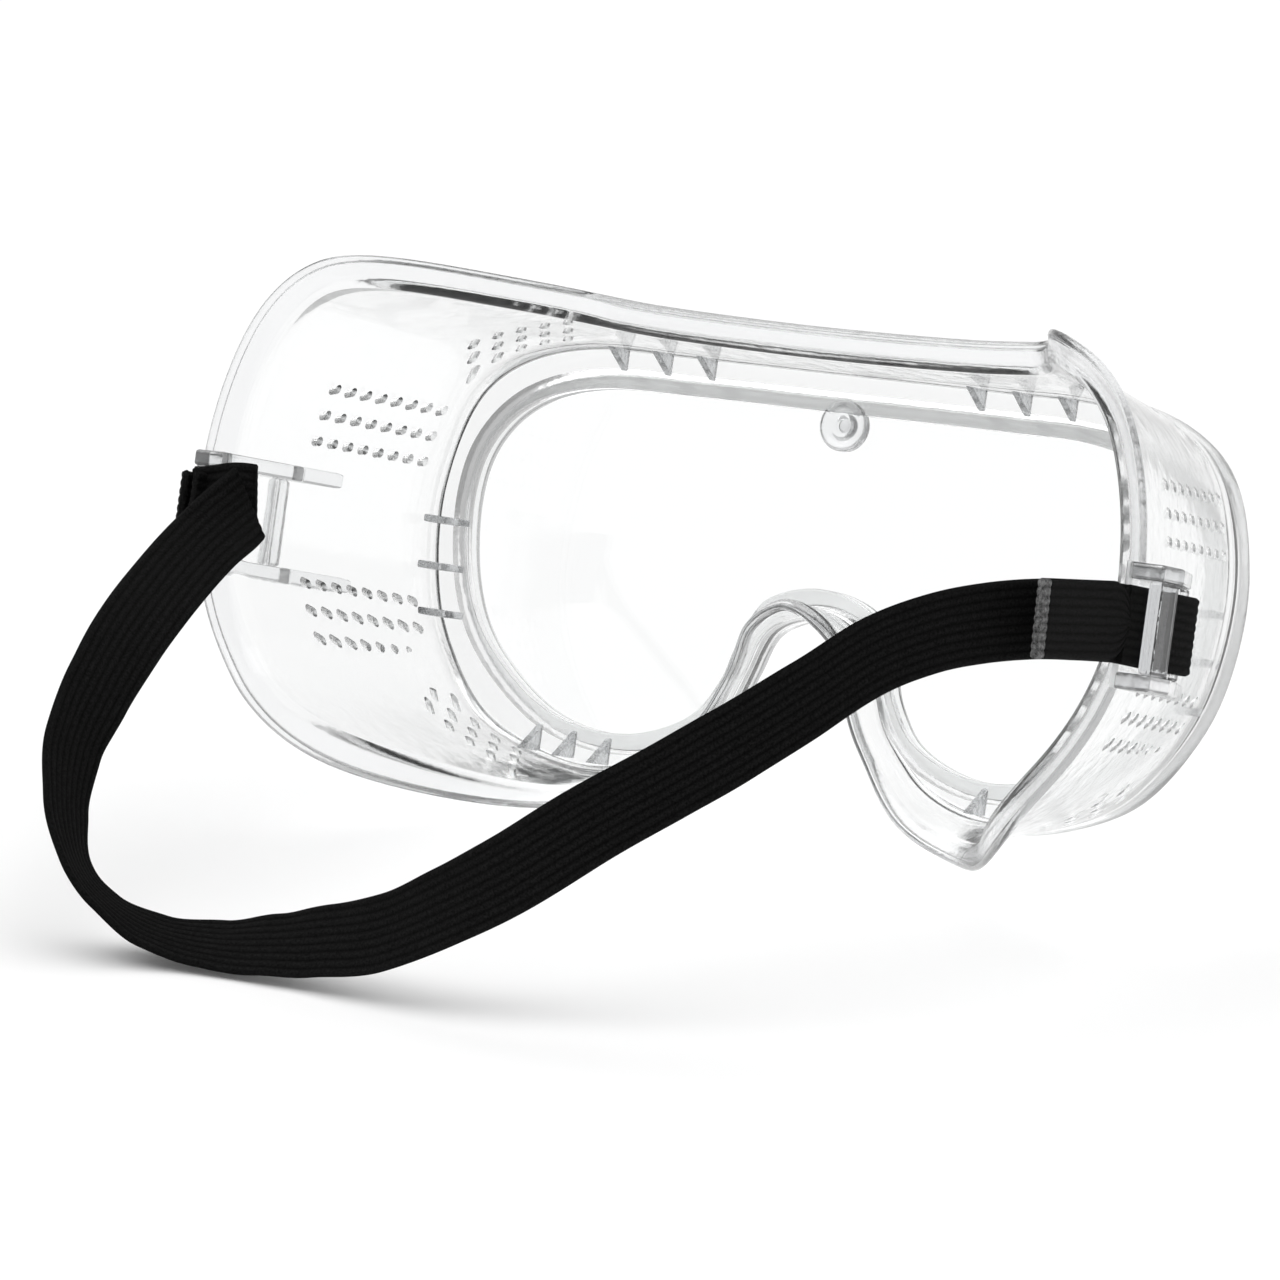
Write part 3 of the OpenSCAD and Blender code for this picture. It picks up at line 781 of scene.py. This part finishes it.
def lug_frame(side, name):
    """The lug's two webs and the post between them in front."""
    web = [(wall_x(LUG_BACK_Y) - SINK, LUG_BACK_Y), (LUG_X + BAR_T, LUG_BACK_Y),
           (LUG_X + BAR_T, LUG_BACK_Y + BAR_D + 1), (POST_X + POST_T, LUG_FRONT_Y),
           (wall_x(LUG_FRONT_Y) - SINK, LUG_FRONT_Y)]
    parts = [solid("web", web, z, z + WEB_T, pvc_edge_painted_shade, WEB_EDGE, side=side)
             for z in (SLOT_TOP, SLOT_BOTTOM - WEB_T)]
    post = oblong(POST_X, LUG_FRONT_Y - POST_D, POST_T, POST_D)
    parts.append(solid("post", post, SLOT_BOTTOM + GAP, SLOT_TOP - GAP, pvc_edge_painted_shade, WEB_EDGE, side=side))
    finish_piece(join(parts, "lug_" + name), "goggles", "clear_body", "strap_lug_" + name)


def lug_bar(side, name):
    """The bar at the rear, between the webs."""
    outline = oblong(LUG_X, LUG_BACK_Y, BAR_T, BAR_D)
    bar = solid("bar", outline, SLOT_BOTTOM + GAP, SLOT_TOP - GAP, pvc_bar_painted_shade, BAR_EDGE, side=side)
    finish_piece(join([bar], "bar_" + name), "goggles", "clear_body", "lug_bar_" + name)


def lug_ribs(side, name):
    """The ribs that run on from the webs and taper to the wall."""
    ribs = []
    for z, reach in zip((SLOT_TOP, SLOT_BOTTOM - WEB_T), RIB_REACH):
        outline = [(wall_x(LUG_FRONT_Y) - SINK, LUG_FRONT_Y + GAP), (POST_X + POST_T, LUG_FRONT_Y + GAP),
                   (wall_x(LUG_FRONT_Y + reach) - SINK, LUG_FRONT_Y + reach)]
        ribs.append(solid("taper", outline, z, z + WEB_T, pvc_edge_painted_shade, TAPER_EDGE, side=side))
    finish_piece(join(ribs, "lug_taper_" + name), "goggles", "clear_body", "lug_ribs_" + name)


for side, name in ((1, "right"), (-1, "left")):
    lug_frame(side, name)
    lug_bar(side, name)
    lug_ribs(side, name)

# ---------------------------------------------------------------- the elastic strap
HEM = 0.07          # share of the strap's half width that rounds off to its edge
UV_SCALE = 10       # texture units in a metre of the strap


def smooth_path(points, across):
    """Points every ROW_STEP or so on a smooth curve through points, and the strap's width there."""
    pts = [Vector(p) for p in points]
    wid = [Vector(w).normalized() for w in across]
    path, widths = [], []
    last = len(pts) - 1
    for i in range(last):
        p0, p1, p2, p3 = pts[max(i - 1, 0)], pts[i], pts[i + 1], pts[min(i + 2, last)]
        rows = max(2, round((p2 - p1).length / (ROW_STEP * MM)))
        for j in range(rows):
            u = j / rows
            path.append(0.5 * (2 * p1 + (p2 - p0) * u + (2 * p0 - 5 * p1 + 4 * p2 - p3) * u * u
                               + (3 * p1 - p0 - 3 * p2 + p3) * u ** 3))
            widths.append(wid[i].slerp(wid[i + 1], ease(u)))
    path.append(pts[-1])
    widths.append(wid[-1])
    return path, widths


def band_section():
    """The strap's ribbed section all round: [place across from -1 to 1, distance from its middle]."""
    thick = STRAP_T / 2 * MM
    face = []
    for c in range(ACROSS):
        s = -1 + 2 * c / (ACROSS - 1)
        edge = max(0.0, (abs(s) - (1 - HEM)) / HEM)
        lift = RIB_RISE * abs(math.sin(math.pi * STRAP_RIBS * (s + 1) / 2)) - RIB_RISE
        face.append((s, thick * math.sqrt(max(0.0, 1 - edge * edge)) + lift * MM * (1 - edge)))
    return face + [(s, -t) for s, t in reversed(face)][1:-1]


def lay_texture(obj, lengths, columns):
    """Lays the texture's U along the strap and its V once round the section."""
    uv = obj.data.uv_layers.new(name="UVMap")
    for loop in obj.data.loops:
        row, column = divmod(loop.vertex_index, columns)
        uv.data[loop.index].uv = (lengths[row] * UV_SCALE, column / columns)


def ribbon(name, points, across, mat, slant_rows=0, round_start=False):
    """A flat knitted band along points, in metres, with its width along across; returns it and its
    path. Over its last slant_rows rows it turns until it ends along the last width itself, and
    round_start rounds its first end."""
    path, widths = smooth_path(points, across)
    section = band_section()
    rows, columns = len(path), len(section)
    half = STRAP_W / 2 * MM
    verts, lengths = [], []
    run = 0.0
    for i in range(rows):
        along = (path[min(i + 1, rows - 1)] - path[max(i - 1, 0)]).normalized()
        raw = widths[i]
        wide = (raw - raw.dot(along) * along).normalized()
        face = along.cross(wide).normalized()
        if i > rows - 1 - slant_rows:
            u = (i - (rows - 1 - slant_rows)) / slant_rows
            wide = wide * (1 - u) + raw / raw.dot(wide) * u
        if i:
            run += (path[i] - path[i - 1]).length
        lengths.append(run)
        reach = min(1, (run + 0.1 * MM) / half) if round_start else 1
        share = math.sqrt(1 - (1 - reach) ** 2)
        verts += [path[i] + wide * (s * half * share) + face * t for s, t in section]
    obj = make(name, verts, tube_faces(rows, columns), mat)
    lay_texture(obj, lengths, columns)
    return obj, path


# The run's middle from behind the right lug to the fold: [x, y, z] where the goggles stand, in mm
RUN_POINTS = [
    (83, -48, 56), (80, -58, 58), (76, -68, 59), (72, -78, 59), (67, -88, 57),
    (61, -98, 52), (53, -106, 46), (44, -111, 40), (33, -115, 33), (20, -117, 24), (8, -117, 17),
    (-4, -115, 11), (-16, -112, 7.5), (-27, -110, 5), (-38, -109, 3.5), (-48, -110, 4.5),
    (-56, -111, 8.5), (-61.5, -110.5, 14), (-65, -107.5, 22), (-67.5, -101, 30), (-68.5, -91.5, 37),
    (-70, -79, 43), (-72.3, -64, 47.3), (-74.6, -48, 50.8)]
FOLD_AT = (-75, -33, 54.3)                # middle of the strap's fold at the left lug
LAID_AT = (82.7, -41.408, 54.732)         # where the run joined the lug when it was laid out
FOLD_LINE = Vector((0.435, 0, -0.9))      # direction of that fold
FOLD_ROWS = 9                             # mesh rows over which the run turns to it
TURN_POINTS = ((0.5, 1.6, 0), (-3.5, 1.2, -0.1), (-7.2, 1.5, -0.9), (-10.5, 1.2, -1.7))  # from it, in mm
TURN_WIDTH = Vector((-0.2, 0.25, 0.94))   # the strap's width just behind it
# Which way the strap's width points at each of RUN_POINTS
RUN_ACROSS = [
    (0, 29, 96), (0, 29, 96), (0, 25, 97), (0, 22, 98), (0, 20, 98),
    (5, 15, 98), (10, 10, 98), (12, 0, 98), (15, 0, 97), (14, 8, 95), (10, 20, 93),
    (0, 35, 88), (-15, 58, 70), (-25, 78, 50), (-30, 90, 30), (-30, 94, 12),
    (-30, 94, -10), (-18, 92, -28), (5, 90, -40), (30, 78, -52), (50, 58, -60),
    (68, 40, -60), (80, 28, -53), (80, 23, -54)]
LAYER_GAP = 0.6     # between the strap's layers where its end lies on it
STRAP_END_Y = LUG_BACK_Y - LIP_T - 2.4          # where the layers in the lugs end
SWING_Y = STRAP_END_Y - STRAP_W / 2 - 0.3       # the line that the strap swings on
SWING = place((0, SWING_Y, SLOT_Z))
UP_STRAP = Vector((0, SIN, COS))

inner_back_x = FACE_HALF_W + WALL + STRAP_GAP + STRAP_T / 2
outer_back_x = inner_back_x + STRAP_T + STRAP_GAP
inner_front_x = wall_x(LUG_FRONT_Y - POST_D) + STRAP_GAP + STRAP_T / 2
outer_front_x = POST_X + POST_T + STRAP_GAP + STRAP_T / 2
wrap_mid_x = (inner_front_x + outer_front_x) / 2
wrap_r = (outer_front_x - inner_front_x) / 2
fixed_in = LUG_X - STRAP_GAP - STRAP_T / 2
fixed_out = LUG_X + BAR_T + STRAP_GAP + STRAP_T / 2
fixed_mid = (fixed_in + fixed_out) / 2
fixed_r = (fixed_out - fixed_in) / 2


def laid(p):
    """A point of the laid-out run, in mm, moved with the lugs as in the CAD; in metres."""
    x, y, z = p
    return Vector((x * inner_back_x / LAID_AT[0] * MM, (y - LAID_AT[1]) * MM + SWING.y,
                   z * SWING.z / LAID_AT[2]))


def upright(line, side=1):
    pts = [place((side * x, y, SLOT_Z)) for x, y in line]
    return pts, [UP_STRAP] * len(pts)


def drooped(line):
    """Like upright, but turned down about the line that the strap swings on."""
    turn = Matrix.Rotation(TAIL_DROOP, 3, "X")
    pts, across = upright(line)
    pivot = Vector((0, SWING.y, SWING.z))
    return [turn @ (p - pivot) + pivot for p in pts], [turn @ w for w in across]


def half_turn(mid_x, r, y):
    """Points half way round a bar, from its inner side to its outer side."""
    angles = [math.radians(180 - 22.5 * k) for k in range(9)]
    return [(mid_x + r * math.cos(a), y + r * math.sin(a)) for a in angles]


def strap_run(fold):
    """The long run round the back, from the right lug to the fold at the left one."""
    points = [place((inner_back_x, STRAP_END_Y, SLOT_Z))] + [laid(p) for p in RUN_POINTS] + [fold]
    across = [UP_STRAP] + [Vector(w) for w in RUN_ACROSS] + [FOLD_LINE]
    run, path = ribbon("strap_band", points, across, strap_mat, slant_rows=FOLD_ROWS)
    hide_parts("strap_run")
    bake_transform(run)
    return run, path


def strap_turn(fold):
    """Behind the fold the strap turns back outwards to the bar."""
    points = [fold + Vector(p) * MM for p in TURN_POINTS]
    turn, _ = ribbon("strap_turn", points, [-FOLD_LINE, TURN_WIDTH, UP_STRAP, UP_STRAP], strap_mat)
    finish_piece(turn, "goggles", "strap")


def strap_wrap():
    """The strap's way through the right lug: in along the wall, round the post and back."""
    line = [(inner_back_x, STRAP_END_Y), (inner_back_x, LUG_BACK_Y), (inner_front_x, LUG_FRONT_Y - POST_D)]
    line += half_turn(wrap_mid_x, wrap_r, LUG_FRONT_Y)
    line += [(outer_front_x, LUG_FRONT_Y - POST_D), (outer_back_x, LUG_BACK_Y + BAR_D),
             (outer_back_x, LUG_BACK_Y), (outer_back_x, STRAP_END_Y)]
    wrap, _ = ribbon("strap_wrap", *upright(line), strap_mat)
    finish_piece(wrap, "goggles", "strap", "strap_loop_right")


def strap_fold():
    """The strap's fixed end, folded round the left lug's bar."""
    line = [(fixed_in, STRAP_END_Y), (fixed_in, LUG_BACK_Y)]
    line += half_turn(fixed_mid, fixed_r, LUG_BACK_Y + BAR_D + STRAP_GAP)
    line += [(fixed_out, LUG_BACK_Y), (fixed_in + STRAP_T + LAYER_GAP, STRAP_END_Y)]
    fold, _ = ribbon("strap_fold", *upright(line, -1), strap_mat)
    finish_piece(fold, "goggles", "strap", "strap_loop_left")


def strap_tail():
    """The strap's free end, which slides through the right lug, and its sealed tip."""
    x = RUN_POINTS[0][0] + STRAP_T + LAYER_GAP
    end_y = SWING_Y - TAIL_L
    line = [(x, SWING_Y + STRAP_W / 2), (x, SWING_Y - 8), (x, end_y)]
    tail, _ = ribbon("strap_end", *drooped(line), strap_mat, round_start=True)
    finish_piece(tail, "tail", "strap", "strap_tail")
    tip, _ = ribbon("strap_seal", *drooped([(x, end_y), (x, end_y - TIP_L)]), tip_mat)
    finish_piece(tip, "tail", "strap_tip", "strap_tip")
    return tail, tip


def straps():
    fold = laid(FOLD_AT)
    run, path = strap_run(fold)
    strap_turn(fold)
    strap_wrap()
    strap_fold()
    tail, tip = strap_tail()


straps()

# ---------------------------------------------------------------- floor and light
def floor():
    """A wide pale floor just under the goggles."""
    mat, _, _, bsdf = material("pale_floor")
    bsdf.inputs["Base Color"].default_value = (0.95, 0.95, 0.95, 1)
    bsdf.inputs["Roughness"].default_value = 0.9
    bsdf.inputs["Specular IOR Level"].default_value = 0.0
    mesh = bpy.data.meshes.new("floor")
    half = 30       # metres
    mesh.from_pydata([(-half, -half, 0), (half, -half, 0), (half, half, 0), (-half, half, 0)],
                     [], [(0, 1, 2, 3)])
    mesh.materials.append(mat)
    obj = bpy.data.objects.new("floor", mesh)
    obj.location = (0, 0, -0.0002)
    scene.collection.objects.link(obj)


def white_room():
    """White light from all round."""
    world = bpy.data.worlds.new("studio")
    world.use_nodes = True
    background = world.node_tree.nodes["Background"]
    background.inputs["Color"].default_value = (1, 1, 1, 1)
    background.inputs["Strength"].default_value = 0.55
    scene.world = world


def softbox():
    """Very soft light from above."""
    data = bpy.data.lights.new("softbox", "SUN")
    data.energy = 1.6
    data.angle = math.radians(80)
    obj = bpy.data.objects.new("softbox", data)
    obj.rotation_euler = (math.radians(8), math.radians(-6), 0)
    scene.collection.objects.link(obj)


def key_light():
    """A weak square lamp above the front left, aimed at the goggles."""
    data = bpy.data.lights.new("key", "AREA")
    data.shape = "RECTANGLE"
    data.size, data.size_y = 0.8, 0.8
    data.energy = 3
    obj = bpy.data.objects.new("key", data)
    obj.location = (-0.8, -0.9, 1.5)
    aim = Vector((0, 0, 0.04)) - obj.location
    obj.rotation_euler = aim.to_track_quat("-Z", "Y").to_euler()
    scene.collection.objects.link(obj)


floor()
white_room()
softbox()
key_light()

scene.view_settings.view_transform = "Standard"
